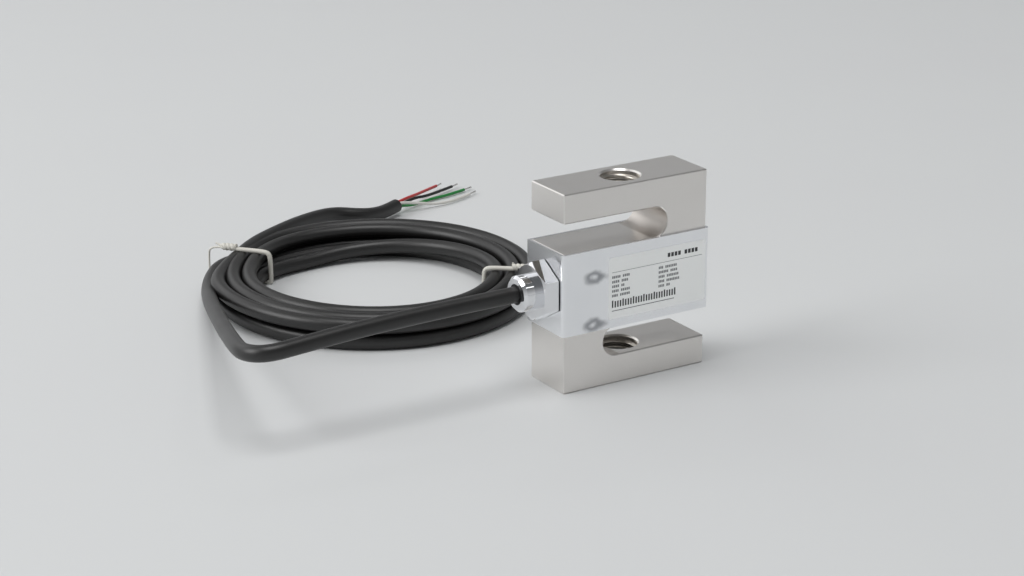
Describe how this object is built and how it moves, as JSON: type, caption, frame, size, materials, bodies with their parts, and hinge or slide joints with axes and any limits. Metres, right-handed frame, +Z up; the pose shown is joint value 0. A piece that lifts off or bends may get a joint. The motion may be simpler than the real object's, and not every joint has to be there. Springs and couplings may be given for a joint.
{
  "type": "s-type load cell",
  "caption": "S-shaped tension and compression load cell with a threaded hole in each arm, a sheet cover round its centre block, an end cable gland and a coiled four-core cable.",
  "frame": {"origin": "centre of the bottom face of the S-shaped block, on the load axis", "axes": "+Z up along the load axis through both threaded holes; +X along the block's width, away from the cable gland; -Y out of the face with the label"},
  "size_m": [0.1823, 0.2031, 0.062],
  "materials": {
    "nickel_plated_steel": "satin nickel plate on machined alloy steel",
    "stainless_sheet": "smooth bright stainless sheet",
    "label_film": "satin silver-white film",
    "chromed_brass": "polished chrome plate on turned brass",
    "washer_steel": "plain steel",
    "black_rubber": "moulded nitrile rubber",
    "cable_jacket": "satin extruded jacket",
    "tinned_copper": "tinned copper wire",
    "tie_plastic": "off-white plastic over a wire core",
    "circuit_board": "glass-epoxy board with solder mask",
    "resistor_body": "lacquered resistor body",
    "potting_gel": "cast silicone",
    "gauge_film": "amber polyimide film with foil grid",
    "red_insulation": "extruded insulation",
    "black_insulation": "extruded insulation",
    "green_insulation": "extruded insulation",
    "white_insulation": "extruded insulation"
  },
  "bodies": {
    "root": {"bare_conductors": "tinned_copper", "cable_coil": "cable_jacket", "cable_inner_end": "cable_jacket", "cable_lead": "cable_jacket", "cable_tail": "cable_jacket", "core_black": "black_insulation", "core_green": "green_insulation", "core_red": "red_insulation", "core_white": "white_insulation", "front_cover": "stainless_sheet", "front_gauge_leads": "tinned_copper", "front_gauge_left": "gauge_film", "front_gauge_right": "gauge_film", "front_potting": "potting_gel", "gland_body": "chromed_brass", "gland_collar": "chromed_brass", "gland_o_ring": "black_rubber", "gland_seal": "black_rubber", "gland_washer": "washer_steel", "inner_core_black": "black_insulation", "inner_core_green": "green_insulation", "inner_core_red": "red_insulation", "inner_core_white": "white_insulation", "label": "label_film", "rear_cover": "stainless_sheet", "rear_gauge_leads": "tinned_copper", "rear_gauge_left": "gauge_film", "rear_gauge_right": "gauge_film", "rear_potting": "potting_gel", "s_beam_body": "nickel_plated_steel", "span_resistor": "resistor_body", "terminal_board": "circuit_board", "twist_tie_left": "tie_plastic", "twist_tie_right": "tie_plastic", "zero_resistor": "resistor_body"}
  },
  "joints": []
}
